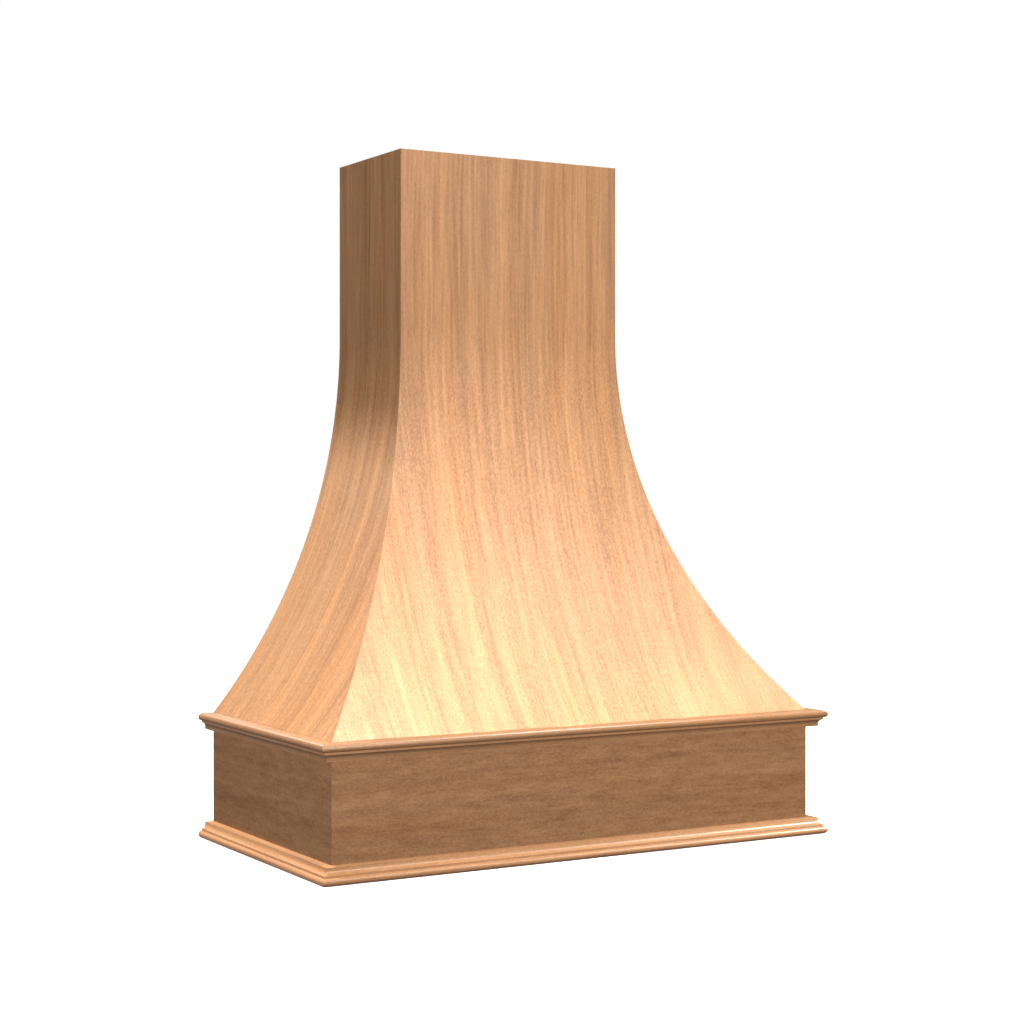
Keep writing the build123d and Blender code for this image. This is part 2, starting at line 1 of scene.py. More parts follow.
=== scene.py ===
# %% [markdown]
# # A wooden range hood cover
# The real piece is a hollow wooden shell that hides a kitchen blower. Thin bent panels
# sweep from a straight chimney out to a low box, the apron, and two bands of moulding
# trim that box. Its sizes, and how its boards meet, come from a CAD model, which stays the
# reference.
# This lesson gives it smooth surfaces, eased edges, wood, studio light and a camera.

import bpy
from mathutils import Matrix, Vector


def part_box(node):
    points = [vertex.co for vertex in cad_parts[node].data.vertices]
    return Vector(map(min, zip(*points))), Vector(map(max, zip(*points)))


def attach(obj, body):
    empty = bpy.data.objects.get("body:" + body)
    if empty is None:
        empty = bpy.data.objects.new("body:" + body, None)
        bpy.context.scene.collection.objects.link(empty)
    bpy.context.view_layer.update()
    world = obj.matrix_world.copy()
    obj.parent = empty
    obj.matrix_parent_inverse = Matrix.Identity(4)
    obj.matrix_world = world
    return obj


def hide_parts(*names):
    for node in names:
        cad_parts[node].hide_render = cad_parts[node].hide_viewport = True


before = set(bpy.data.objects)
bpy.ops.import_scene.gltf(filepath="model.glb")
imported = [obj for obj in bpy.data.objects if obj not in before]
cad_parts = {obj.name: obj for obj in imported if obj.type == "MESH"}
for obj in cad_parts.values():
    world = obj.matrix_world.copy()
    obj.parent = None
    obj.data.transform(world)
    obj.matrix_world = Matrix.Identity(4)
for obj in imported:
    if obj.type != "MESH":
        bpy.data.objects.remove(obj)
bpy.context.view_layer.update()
print("CAD nodes:", len(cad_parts))

# %% Other modules
import math

import bpy
import numpy as np

MM = 0.001

# %% [markdown]
# ## Main lines of the cover
# Every outside surface follows one outline, drawn in two numbers: how far *out* it stands
# from the chimney's face, and its height z. The outline drops straight down the chimney and
# then follows an arc that starts upright. The few sizes that fix it are read from the
# panel in the CAD model, so the new surfaces can't drift away from the solids.

# %% Measure the front panel
panel_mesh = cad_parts["front_panel"].data
corners = np.empty(len(panel_mesh.vertices) * 3)
panel_mesh.vertices.foreach_get("co", corners)
corners = corners.reshape(-1, 3)
TOP_Z, BAND_H = corners[:, 2].max(), corners[:, 2].min()
at_top = corners[corners[:, 2] > TOP_Z - MM]
HALF_CHIMNEY, CHIMNEY_Y = at_top[:, 0].max(), at_top[:, 1].min()
FLARE = CHIMNEY_Y - corners[:, 1].min()
WALL_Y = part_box("right_side_panel")[1].y
# On the chimney's face or in front of it, the next corner below the top starts the sweep.
outer_heights = corners[corners[:, 1] < CHIMNEY_Y + 0.01 * MM, 2]
SWEEP_TOP = outer_heights[outer_heights < TOP_Z - MM].max()
# An arc that starts upright, falls by h and comes out by f has the radius (f^2 + h^2) / 2f.
SWEEP_R = (FLARE**2 + (SWEEP_TOP - BAND_H) ** 2) / (2 * FLARE)
print(f"chimney {2e3 * HALF_CHIMNEY:.1f} mm wide, sweep {1e3 * FLARE:.1f} mm out, "
      f"from {1e3 * SWEEP_TOP:.1f} down to {1e3 * BAND_H:.1f} mm, radius {1e3 * SWEEP_R:.1f} mm")


# %% The sweep as a formula
def reach(z, inset=0.0):
    """How far out the sweep has come at height z, for a face that lies inset inside it.

    The arc's centre is SWEEP_R out and at the height where the sweep starts, so
    out = R - sqrt((R + inset)^2 - drop^2), and drop = 0 all the way up the chimney.
    """
    drop = np.maximum(SWEEP_TOP - z, 0.0)
    return SWEEP_R - np.sqrt((SWEEP_R + inset) ** 2 - drop**2)


print(f"the sweep is {1e3 * reach(0.5):.1f} mm out at half a metre")

# %% [markdown]
# ## From arrays to a mesh
# Blender takes a mesh as three lists: points, the corners of every face, and where each
# face starts. Whole numpy arrays go in with `foreach_set`, which is fast and leaves no
# loop over points. Each panel, apron board and moulding also gets two UV maps. *grain*
# holds metres along and across the wood fibres, so that the grain bends with a bent panel.
# *edge* holds the distance from the nearest mitre and the depth below the face, for joint
# lines and plywood layers.

# %% Put points, faces and UVs into a mesh
def new_object(name, points, faces, uv_maps):
    """Object from an (n, 3) array of points, a list of (k, corners) face arrays and UVs."""
    loops = np.concatenate([f.ravel() for f in faces])
    sizes = np.concatenate([np.full(len(f), f.shape[1]) for f in faces])
    mesh = bpy.data.meshes.new(name)
    mesh.vertices.add(len(points))
    mesh.vertices.foreach_set("co", points.astype(np.float32).ravel())
    mesh.loops.add(len(loops))
    mesh.loops.foreach_set("vertex_index", loops.astype(np.int32))
    mesh.polygons.add(len(sizes))
    mesh.polygons.foreach_set("loop_start", (np.cumsum(sizes) - sizes).astype(np.int32))
    for map_name, values in uv_maps.items():
        layer = mesh.uv_layers.new(name=map_name)
        layer.uv.foreach_set("vector", values.astype(np.float32).ravel())
    mesh.update(calc_edges=True)
    mesh.validate()
    piece = bpy.data.objects.new(name, mesh)
    bpy.context.scene.collection.objects.link(piece)
    return piece


# %% [markdown]
# ## Boards carried round the cover
# Panels, apron boards and mouldings are all made in the same way in the workshop: a long
# piece with one section, cut at 45 degrees where it meets its neighbour. So one function
# serves for all: a closed section is carried along the front or along a side, and each of
# its points travels as far as the mitre plane lets it.

# %% Carry a section along one side of the cover
def carried(name, section, depth, side, fibres, shift=0.0):
    """Closed solid from an (n, 2) section of (out, z) points, clockwise, out to the right.

    Front: x = t (half chimney + out) and y = chimney face - out, for t from -1 to 1.
    Left or right: x = -/+(half chimney + out), and y runs from chimney face - out, in the
    mitre plane, to the wall. Each face lists its corners so that it looks outwards. depth
    says how far each point lies below the face. fibres is "run" or "section", the way that
    the grain runs. shift moves the grain, so that no two boards have the same figure. The
    two ends count as a metre from the mitre, which keeps the joint's line off them.
    """
    n = len(section)
    out, z = section[:, 0], section[:, 1]
    stations = np.array([-1.0, 0.0, 1.0])[:, None]
    if side == "front":
        x = stations * (HALF_CHIMNEY + out)
        y = np.broadcast_to(CHIMNEY_Y - out, x.shape)
        run, to_mitre = x, (HALF_CHIMNEY + out) - np.abs(x)
    else:
        hand = -1.0 if side == "left" else 1.0
        start = CHIMNEY_Y - out
        y = start + (stations[::int(hand)] + 1) / 2 * (WALL_Y - start)
        x = np.broadcast_to(hand * (HALF_CHIMNEY + out), y.shape)
        run, to_mitre = y, y - start
    points = np.stack([x, y, np.broadcast_to(z, x.shape)], axis=2).reshape(-1, 3)

    i, k = np.arange(n), np.arange(len(stations) - 1)[:, None]
    after = (i + 1) % n
    walls = np.stack([k * n + i, k * n + after, (k + 1) * n + after, (k + 1) * n + i], axis=2)
    walls = walls.reshape(-1, 4)
    caps = np.stack([i[::-1], (len(stations) - 1) * n + i])

    length = np.concatenate([[0.0], np.cumsum(np.hypot(*(section[after] - section).T))])
    s_wall = np.stack([length[:-1], length[1:], length[1:], length[:-1]], axis=1)
    s_wall = np.concatenate([s_wall] * (len(stations) - 1)).ravel()
    run_wall, mitre_wall = run.ravel()[walls].ravel(), to_mitre.ravel()[walls].ravel()
    ends = caps.ravel() % n
    wall_uv, cap_uv = [run_wall, s_wall], [out[ends], z[ends]]
    if fibres == "section":
        wall_uv, cap_uv = wall_uv[::-1], cap_uv[::-1]
    grain = np.concatenate([np.stack(wall_uv, axis=1), np.stack(cap_uv, axis=1)]) + shift
    no_line = np.ones(len(ends))
    edge = np.concatenate([np.stack([mitre_wall, depth[walls.ravel() % n]], axis=1),
                           np.stack([no_line, depth[ends]], axis=1)])
    return new_object(name, points, [walls, caps], {"grain": grain, "edge": edge})


def paint_faces(piece, rule):
    """Sets each face's material slot.

    A carried piece has two rings of n faces, then its two ends. rule gives the slot from a
    face's place in its ring, and the ends have the third slot.
    """
    n = (len(piece.data.polygons) - 2) // 2
    which = np.append(rule(np.arange(2 * n) % n), [2, 2])
    piece.data.polygons.foreach_set("material_index", which.astype(np.int32))


# %% [markdown]
# ## Eased edges
# Nobody leaves a board's edges razor sharp: a stroke of sandpaper eases them, and the
# light catches that narrow round. Blender's Bevel modifier does the same. It works on
# edges that turn by more than 30 degrees, so the fine facets of a sweep stay smooth.

# %% Finish a piece
SHARP_TURN, EASE_STEPS = math.radians(30), 2


def finished(piece, replaced, materials, ease):
    """Smooth shading, eased edges and materials; the piece hangs from the root body, and the CAD
    node it replaces is hidden.
    """
    mesh = piece.data
    mesh.shade_smooth()
    for material in materials:
        mesh.materials.append(material)
    bevel = piece.modifiers.new("eased edges", "BEVEL")
    bevel.width = ease
    bevel.segments = EASE_STEPS
    bevel.limit_method = "ANGLE"
    bevel.angle_limit = SHARP_TURN
    bevel.harden_normals = True
    bevel.use_clamp_overlap = True
    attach(piece, "root")
    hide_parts(replaced)


# %% [markdown]
# ## Wood
# Wood grain is a stack of patterns that are all stretched along the fibres: broad bands a
# few centimetres wide, streaks a few millimetres wide, fine fibres and short flecks. One
# node group makes them all from a position in metres, whose X runs along the fibres. A last,
# slow pattern makes the colour drift between cooler and warmer. Each wood of the cover then
# uses the group with its own strengths and colours.

# %% Node helpers
FLOAT, COLOR, VECTOR = "NodeSocketFloat", "NodeSocketColor", "NodeSocketVector"


def add_node(tree, kind, inputs=None, **settings):
    """New node with settings, and values or links for its inputs."""
    node = tree.nodes.new(kind)
    for key, value in settings.items():
        setattr(node, key, value)
    for key, value in (inputs or {}).items():
        if isinstance(value, bpy.types.NodeSocket):
            tree.links.new(value, node.inputs[key])
        else:
            node.inputs[key].default_value = value
    return node


def new_group(name, inputs, outputs):
    """Shader node group whose sockets are given as {name: type}.

    Returns its tree, the sockets that bring values in and the sockets that take results.
    """
    tree = bpy.data.node_groups.new(name, "ShaderNodeTree")
    for in_out, sockets in (("INPUT", inputs), ("OUTPUT", outputs)):
        for label, kind in sockets.items():
            tree.interface.new_socket(label, in_out=in_out, socket_type=kind)
    return tree, tree.nodes.new("NodeGroupInput").outputs, tree.nodes.new("NodeGroupOutput").inputs


def new_material(name):
    """New material, its node tree and its Principled shader."""
    material = bpy.data.materials.new(name)
    material.use_nodes = True
    return material, material.node_tree, material.node_tree.nodes["Principled BSDF"]


def object_place(tree):
    """The point's place in metres: the object sits at the origin, so this is the cover's frame."""
    return add_node(tree, "ShaderNodeTexCoord").outputs["Object"]


# %% Helpers for values and colours
def math_node(tree, operation, a, b=0.5, c=0.5, clamp=False):
    """Result of Blender's Math node on up to three values; not every operation uses b and c."""
    node = add_node(tree, "ShaderNodeMath", {0: a, 1: b, 2: c}, operation=operation,
                    use_clamp=clamp)
    return node.outputs[0]


def map_range(tree, value, to_min, to_max, from_min=0.0, from_max=1.0):
    """to_min where the value is from_min, to_max where it is from_max, in proportion between."""
    node = add_node(tree, "ShaderNodeMapRange",
                    {"Value": value, "From Min": from_min, "From Max": from_max,
                     "To Min": to_min, "To Max": to_max})
    return node.outputs[0]


def mix_colour(tree, factor, first, second, blend="MIX"):
    """First colour at factor 0, second at 1; each is a link, or red, green and blue."""
    first, second = (colour if isinstance(colour, bpy.types.NodeSocket) else (*colour, 1)
                     for colour in (first, second))
    node = add_node(tree, "ShaderNodeMix", {0: factor, 6: first, 7: second},
                    data_type="RGBA", blend_type=blend)
    return node.outputs[2]


# %% The grain group
COOLER, WARMER = (0.968, 1.004, 1.063), (1.032, 0.996, 0.937)
WANDER, FINE_SHARE, FLECK_SHARE, PORE_DEPTH = 0.022, 0.25, 0.5, -0.6


def stretched_noise(tree, vector, along, across, detail=2.0, roughness=0.5, lift=0.0):
    """Noise with its own frequency, per metre, along and across the fibres.

    lift moves the pattern away from the others, so that no two are alike.
    """
    scaled = add_node(tree, "ShaderNodeVectorMath",
                      {0: vector, 1: (along, across, across), 2: (lift, lift, lift)},
                      operation="MULTIPLY_ADD")
    noise = add_node(tree, "ShaderNodeTexNoise",
                     {"Vector": scaled.outputs[0], "Scale": 1.0, "Detail": detail,
                      "Roughness": roughness})
    return noise.outputs["Fac"]


def build_grain_group():
    """Group from a position in metres, X along the fibres, to colour, pore height and tone.

    The fibres wander sideways by up to WANDER / 2. Tone is 0.5 plus each pattern's swing
    times its strength, less the flecks, and it mixes the colour from dark to light.
    """
    tree, given, result = new_group(
        "wood_grain",
        {"Vector": VECTOR, "Light": COLOR, "Dark": COLOR, "Bands": FLOAT, "Streaks": FLOAT,
         "Flecks": FLOAT, "Figure": FLOAT, "Clouds": FLOAT},
        {"Color": COLOR, "Height": FLOAT, "Tone": FLOAT})
    drift = stretched_noise(tree, given["Vector"], along=2.0, across=5.0, lift=3.1)
    sideways = math_node(tree, "MULTIPLY", math_node(tree, "SUBTRACT", drift, 0.5), WANDER)
    shift = add_node(tree, "ShaderNodeCombineXYZ", {"Y": sideways, "Z": sideways})
    place = add_node(tree, "ShaderNodeVectorMath", {0: given["Vector"], 1: shift.outputs[0]},
                     operation="ADD").outputs[0]
    bands = stretched_noise(tree, place, along=0.7, across=26.0)
    streaks = stretched_noise(tree, place, along=4.5, across=165.0, detail=3.0, lift=7.7)
    fibres = stretched_noise(tree, place, along=24.0, across=1500.0, roughness=0.6, lift=1.3)
    flecks = stretched_noise(tree, place, along=75.0, across=520.0, detail=1.0, lift=5.9)
    figure = stretched_noise(tree, place, along=200.0, across=290.0, lift=9.2)
    clouds = stretched_noise(tree, place, along=24.0, across=92.0, lift=2.4)
    warmth = stretched_noise(tree, place, along=1.1, across=19.0, lift=4.6)
    tone = 0.5
    for pattern, strength, share in ((bands, "Bands", 1.0), (streaks, "Streaks", 1.0),
                                     (fibres, "Streaks", FINE_SHARE), (figure, "Figure", 1.0),
                                     (clouds, "Clouds", 1.0)):
        swing = math_node(tree, "SUBTRACT", pattern, 0.5)
        weight = math_node(tree, "MULTIPLY", given[strength], share)
        tone = math_node(tree, "ADD", math_node(tree, "MULTIPLY", swing, weight), tone)
    dash = map_range(tree, flecks, 0.0, 1.0, from_min=0.60, from_max=0.76)
    mark = math_node(tree, "MULTIPLY", math_node(tree, "MULTIPLY", dash, given["Flecks"]),
                     FLECK_SHARE)
    tone = math_node(tree, "SUBTRACT", tone, mark, clamp=True)
    colour = mix_colour(tree, tone, given["Dark"], given["Light"])
    warm = map_range(tree, warmth, 0.0, 1.0, from_min=0.3, from_max=0.7)
    tint = mix_colour(tree, warm, COOLER, WARMER)
    pores = math_node(tree, "ADD", math_node(tree, "MULTIPLY", dash, PORE_DEPTH), fibres)
    tree.links.new(mix_colour(tree, 1.0, colour, tint, "MULTIPLY"), result["Color"])
    tree.links.new(pores, result["Height"])
    tree.links.new(tone, result["Tone"])
    return tree


WOOD_GRAIN = build_grain_group()
print("grain group:", len(WOOD_GRAIN.nodes), "nodes")

# %% [markdown]
# ## The finished wood that shows
# The outside is a light reddish hardwood under a satin clear coat. The coat fills most of
# the pores, so the surface is nearly level, and its gloss is soft. A thin coat layer on
# the Principled shader gives that sheen over the rougher wood below.

# %% Material: wood along its fibres
LINE_NEAR, LINE_FAR, LINE_SHARE = 0.2 * MM, 0.7 * MM, 0.45
GLOSS_SWING = 0.06


def grain_vector(tree, source):
    """Position with X along the fibres: the grain UV map, or Object coordinates turned."""
    if source == "grain":
        return add_node(tree, "ShaderNodeUVMap", uv_map="grain").outputs[0]
    split = add_node(tree, "ShaderNodeSeparateXYZ", {0: object_place(tree)}).outputs
    order = {"X": "XYZ", "Y": "YXZ", "Z": "ZXY"}[source]
    return add_node(tree, "ShaderNodeCombineXYZ",
                    {axis: split[from_axis] for axis, from_axis in zip("XYZ", order)}).outputs[0]


def wood(name, source, light, dark, bands, streaks, flecks, figure, clouds=0.0, coat=0.0,
         coat_roughness=0.4, roughness=0.72, bump=0.2 * MM):
    """Wood material from the grain group; the lighter its tone, the smoother it is.

    A piece with a grain map also has an edge map, which draws a thin dark line at its mitres.
    """
    material, tree, shader = new_material(name)
    grain = add_node(tree, "ShaderNodeGroup",
                     {"Vector": grain_vector(tree, source), "Light": (*light, 1),
                      "Dark": (*dark, 1), "Bands": bands, "Streaks": streaks,
                      "Flecks": flecks, "Figure": figure, "Clouds": clouds},
                     node_tree=WOOD_GRAIN).outputs
    colour = grain["Color"]
    if source == "grain":
        near = add_node(tree, "ShaderNodeUVMap", uv_map="edge").outputs[0]
        distance = add_node(tree, "ShaderNodeSeparateXYZ", {0: near}).outputs["X"]
        line = map_range(tree, distance, LINE_SHARE, 0.0, from_min=LINE_NEAR, from_max=LINE_FAR)
        colour = mix_colour(tree, line, colour, dark)
    gloss = map_range(tree, grain["Tone"], roughness + GLOSS_SWING, roughness - GLOSS_SWING)
    relief = add_node(tree, "ShaderNodeBump", {"Height": grain["Height"], "Strength": 1.0,
                      "Distance": bump}).outputs[0]
    tree.links.new(colour, shader.inputs["Base Color"])
    tree.links.new(gloss, shader.inputs["Roughness"])
    tree.links.new(relief, shader.inputs["Normal"])
    shader.inputs["Specular IOR Level"].default_value = 0.35
    shader.inputs["Coat Weight"].default_value = coat
    shader.inputs["Coat Roughness"].default_value = coat_roughness
    return material


# %% The woods of the cover
LIGHT_WOOD, DARK_WOOD = (0.655, 0.335, 0.158), (0.365, 0.165, 0.066)
LIGHT_VENEER, DARK_VENEER = (0.655, 0.335, 0.152), (0.365, 0.165, 0.0635)
PANEL_VENEER = wood("panel_veneer", "grain", LIGHT_VENEER, DARK_VENEER, bands=1.3,
                    streaks=1.4, flecks=0.5, figure=0.9, clouds=0.3, coat=0.3,
                    roughness=0.52, bump=0.05 * MM)
APRON_WOOD = wood("apron_wood", "grain", LIGHT_WOOD, DARK_WOOD, bands=1.1, streaks=0.5,
                  flecks=0.8, figure=1.1, clouds=1.0, coat=0.12, roughness=0.52,
                  bump=0.06 * MM)
MOULDING_WOOD = wood("moulding_wood", "grain", LIGHT_WOOD, DARK_WOOD, bands=0.8, streaks=1.0,
                     flecks=0.5, figure=0.8, coat=0.7, coat_roughness=0.27, roughness=0.48,
                     bump=0.05 * MM)
INNER_PLY = wood("inner_ply", "grain", light=(0.55, 0.37, 0.21), dark=(0.36, 0.215, 0.11),
                 bands=0.6, streaks=0.6, flecks=0.5, figure=0.3, roughness=0.75)
BARE_WOOD = wood("bare_apron_wood", "grain", light=(0.60, 0.35, 0.19), dark=(0.38, 0.19, 0.09),
                 bands=0.8, streaks=0.8, flecks=0.5, figure=0.3, roughness=0.75)
FRAME_WOOD = {axis: wood(f"frame_wood_{axis}", axis, light=(0.62, 0.44, 0.255),
                         dark=(0.40, 0.255, 0.125), bands=0.9, streaks=0.9, flecks=0.5,
                         figure=0.2)
              for axis in "XYZ"}
WOODS = [PANEL_VENEER, APRON_WOOD, MOULDING_WOOD, INNER_PLY, BARE_WOOD, *FRAME_WOOD.values()]
print("woods:", *(material.name for material in WOODS))

# %% [markdown]
# On the chimney the veneer has long plain streaks. On the sweep a fine cross figure takes
# over, as if the light were woven. So the strengths of the patterns follow the height.

# %% Let the figure grow on the sweep
FIGURE_STARTS, FIGURE_FULL = SWEEP_TOP + 0.02, SWEEP_TOP - 0.12
veneer_tree = PANEL_VENEER.node_tree
veneer_grain = next(n for n in veneer_tree.nodes if n.bl_idname == "ShaderNodeGroup")
height = add_node(veneer_tree, "ShaderNodeSeparateXYZ", {0: object_place(veneer_tree)}).outputs["Z"]
for pattern, on_sweep, on_chimney in (("Figure", 1.3, 0.6), ("Streaks", 1.2, 1.4),
                                      ("Clouds", 0.4, 0.3)):
    strength = map_range(veneer_tree, height, on_sweep, on_chimney,
                         from_min=FIGURE_FULL, from_max=FIGURE_STARTS)
    veneer_tree.links.new(strength, veneer_grain.inputs[pattern])
print(f"the figure grows from {1e3 * FIGURE_STARTS:.0f} down to {1e3 * FIGURE_FULL:.0f} mm")

# %% [markdown]
# ## Cut plywood and end grain
# Where plywood is cut, its veneers show as light and dark layers: fibres that run along
# the cut are smooth and pale, and those that end at it are darker. The layers are counted
# along the sheet's thickness. Where a solid board is cut, growth rings show as arcs.

# %% Layers group
LAYER_LIGHT, LAYER_DARK, GLUE = (0.56, 0.40, 0.235), (0.27, 0.155, 0.08), (0.13, 0.06, 0.03)
GLUE_LINE, GLUE_SHARE, CUT_FACING = 0.1, 0.6, 0.7


def build_layers_group():
    """Colour of the veneer at a depth, and a mask for the faces cut across the sheet.

    Veneers are counted as depth / veneer. Tone is 0.1, plus 0.55 on every second veneer, up
    to 0.25 by a chance of its own and up to 0.2 of fuzz. The first tenth of each is glue. A
    face is cut where |normal . Across| is under CUT_FACING.
    """
    tree, given, result = new_group("ply_layers",
                                    {"Depth": FLOAT, "Veneer": FLOAT, "Across": VECTOR},
                                    {"Color": COLOR, "Edge": FLOAT})
    count = math_node(tree, "DIVIDE", given["Depth"], given["Veneer"])
    layer = math_node(tree, "FLOOR", count)
    second = math_node(tree, "PINGPONG", layer, 1.0)
    chance = add_node(tree, "ShaderNodeTexWhiteNoise", {"W": layer},
                      noise_dimensions="1D").outputs["Value"]
    fuzz = add_node(tree, "ShaderNodeTexNoise", {"Vector": object_place(tree), "Scale": 700.0,
                    "Detail": 3.0}).outputs["Fac"]
    tone = math_node(tree, "MULTIPLY_ADD", second, 0.55, 0.1)
    tone = math_node(tree, "MULTIPLY_ADD", chance, 0.25, tone)
    tone = math_node(tree, "MULTIPLY_ADD", fuzz, 0.2, tone, clamp=True)
    glue = math_node(tree, "LESS_THAN", math_node(tree, "FRACT", count), GLUE_LINE)
    colour = mix_colour(tree, tone, LAYER_DARK, LAYER_LIGHT)
    lined = mix_colour(tree, math_node(tree, "MULTIPLY", glue, GLUE_SHARE), colour, GLUE)
    normal = add_node(tree, "ShaderNodeTexCoord").outputs["Normal"]
    facing = add_node(tree, "ShaderNodeVectorMath", {0: normal, 1: given["Across"]},
                      operation="DOT_PRODUCT").outputs["Value"]
    cut = math_node(tree, "LESS_THAN", math_node(tree, "ABSOLUTE", facing), CUT_FACING)
    tree.links.new(lined, result["Color"])
    tree.links.new(cut, result["Edge"])
    return tree


PLY_LAYERS = build_layers_group()
print("layers group:", len(PLY_LAYERS.nodes), "nodes")


# %% Plywood materials
def plywood(name, source, across, veneer, start):
    """Bare plywood: grain on its faces, layers where it is cut.

    The depth is counted along the vector across: place . across - start.
    """
    material = wood(name, source, light=(0.60, 0.42, 0.24), dark=(0.40, 0.25, 0.125),
                    bands=0.8, streaks=0.6, flecks=0.5, figure=0.3)
    tree = material.node_tree
    base = tree.nodes["Principled BSDF"].inputs["Base Color"]
    along = add_node(tree, "ShaderNodeVectorMath", {0: object_place(tree), 1: across},
                     operation="DOT_PRODUCT").outputs["Value"]
    layers = add_node(tree, "ShaderNodeGroup",
                      {"Depth": math_node(tree, "SUBTRACT", along, start), "Veneer": veneer,
                       "Across": across}, node_tree=PLY_LAYERS).outputs
    face = base.links[0].from_socket
    tree.links.new(mix_colour(tree, layers["Edge"], face, layers["Color"]), base)
    return material


RIB_VENEER, INSERT_VENEER, SHEET_VENEER = 1.5 * MM, 1.81 * MM, 1.27 * MM
insert_low, insert_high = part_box("insert_panel")
INSERT_PLY = plywood("insert_ply", "X", (0, 0, 1), INSERT_VENEER, insert_low.z)
print("veneers in the insert panel:", round((insert_high.z - insert_low.z) / INSERT_VENEER))

# %% Cut edges of the bent sheets
PLY_EDGE, edge_tree, edge_shader = new_material("sheet_edge")
edge_uv = add_node(edge_tree, "ShaderNodeUVMap", uv_map="edge").outputs[0]
edge_depth = add_node(edge_tree, "ShaderNodeSeparateXYZ", {0: edge_uv}).outputs["Y"]
edge_layers = add_node(edge_tree, "ShaderNodeGroup",
                       {"Depth": edge_depth, "Veneer": SHEET_VENEER}, node_tree=PLY_LAYERS)
edge_tree.links.new(edge_layers.outputs["Color"], edge_shader.inputs["Base Color"])
edge_shader.inputs["Roughness"].default_value = 0.8
print(f"{PLY_EDGE.name}: a veneer every {SHEET_VENEER / MM:.2f} mm")

# %% End grain
RING_LIGHT, RING_DARK = (0.46, 0.25, 0.13), (0.16, 0.07, 0.03)
END_GRAIN, end_tree, end_shader = new_material("end_grain")
end_place = object_place(end_tree)
pith = add_node(end_tree, "ShaderNodeMapping", {"Vector": end_place,
                "Location": (0.31, 0.0, 0.09), "Scale": (1, 0.05, 1)}).outputs[0]
rings = add_node(end_tree, "ShaderNodeTexWave", {"Vector": pith, "Scale": 110.0,
                 "Distortion": 1.2, "Detail": 2.0, "Detail Scale": 3.0},
                 wave_type="RINGS", rings_direction="Y").outputs["Fac"]
holes = add_node(end_tree, "ShaderNodeTexVoronoi", {"Vector": end_place,
                 "Scale": 1500.0}).outputs["Distance"]
pores = map_range(end_tree, holes, 0.25, 1.0, from_min=0.1, from_max=0.4)
end_tone = math_node(end_tree, "MULTIPLY", pores,
                     math_node(end_tree, "MULTIPLY_ADD", rings, 0.35, 0.5))
end_tree.links.new(mix_colour(end_tree, end_tone, RING_DARK, RING_LIGHT),
                   end_shader.inputs["Base Color"])
end_shader.inputs["Roughness"].default_value = 0.8
print(END_GRAIN.name, len(end_tree.nodes), "nodes")

# %% [markdown]
# ## Bent panels
# Each panel is one sheet of bending plywood, 6.35 mm thick. Its section runs down the
# outside and back up the inside. The arc gets many short facets, because its outline is
# what the eye follows first. The fibres run down the sheet, so on the sweep they lean
# outwards with it.

# %% Section of the panels
SKIN_T = 6.35 * MM
BOARD_T = 19.05 * MM
ARC_STEPS = 72


def sweep_line(inset):
    """(out, z) from the foot up to the top, for the face that lies inset inside the sweep.

    The heights lie at even steps of angle on the arc: z = sweep top - radius sin(angle).
    """
    radius = SWEEP_R + inset
    angle = np.linspace(math.asin((SWEEP_TOP - BAND_H) / radius), 0.0, ARC_STEPS)
    z = np.append(SWEEP_TOP - radius * np.sin(angle), TOP_Z)
    return np.stack([reach(z, inset), z], axis=1)


PANEL = np.concatenate([sweep_line(0.0)[::-1], sweep_line(SKIN_T)])
PANEL_DEPTH = np.repeat([0.0, SKIN_T], ARC_STEPS + 1)
print("panel section:", len(PANEL), "points")

# %% Make the three panels
SIDES = ("front", "left", "right")
for number, side in enumerate(SIDES):
    node = "front_panel" if side == "front" else f"{side}_side_panel"
    sheet = carried(f"{side}_bent_sheet", PANEL, PANEL_DEPTH, side, "section",
                    shift=3.1 * number)
    finished(sheet, node, [PANEL_VENEER, INNER_PLY, PLY_EDGE], ease=0.35 * MM)
    # Faces across the sheet, at foot and top, show its layers, and those inside are bare.
    paint_faces(sheet, lambda i: np.where(i % (ARC_STEPS + 1) == ARC_STEPS, 2,
                                          (i > ARC_STEPS).astype(int)))
    print(sheet.name, len(sheet.data.polygons), "faces")

# %% [markdown]
# ## Apron boards
# Three plain boards, 19 mm thick, mitred at the front corners. Their grain is level. At
# the wall their end grain shows, with the growth rings cut across.

# %% Make the apron
APRON_SECTION = np.array([(FLARE, BAND_H), (FLARE, 0.0), (FLARE - BOARD_T, 0.0),
                          (FLARE - BOARD_T, BAND_H)])
APRON_DEPTH = np.array([0, 0, BOARD_T, BOARD_T])
for number, side in enumerate(SIDES):
    board = carried(f"{side}_apron_board", APRON_SECTION, APRON_DEPTH, side, "run",
                    shift=1.7 * number + 20)
    finished(board, f"apron_{side}", [APRON_WOOD, BARE_WOOD, END_GRAIN],
             ease=0.6 * MM)
    # Only the inner face, the third in the ring, is bare.
    paint_faces(board, lambda i: (i == 2).astype(int))
    print(board.name, len(board.data.polygons), "faces")

# %% [markdown]
# ## Mouldings
# The same moulding trims the apron's top edge and, upside down, its bottom edge. Its
# section has a ledge, a round nose, a small flat, a shallow cove and a flat foot. A
# section is best drawn as a chain of lines and arcs, sampled finely where it is round.
# Light that bounces off the mouldings would draw an orange glow on the foot of the apron,
# so they throw no diffuse light back.

# %% Section of the moulding
MOULDING_H, MOULDING_OUT = 28.0, 27.5
NOSE_TOP_R, NOSE_UNDER_R = 7.5, 5.0
FLAT_OUT, FLAT_END = 21.4, 16.4
FOOT_OUT, COVE_END, COVE_SAG = 15.2, 22.2, 1.2


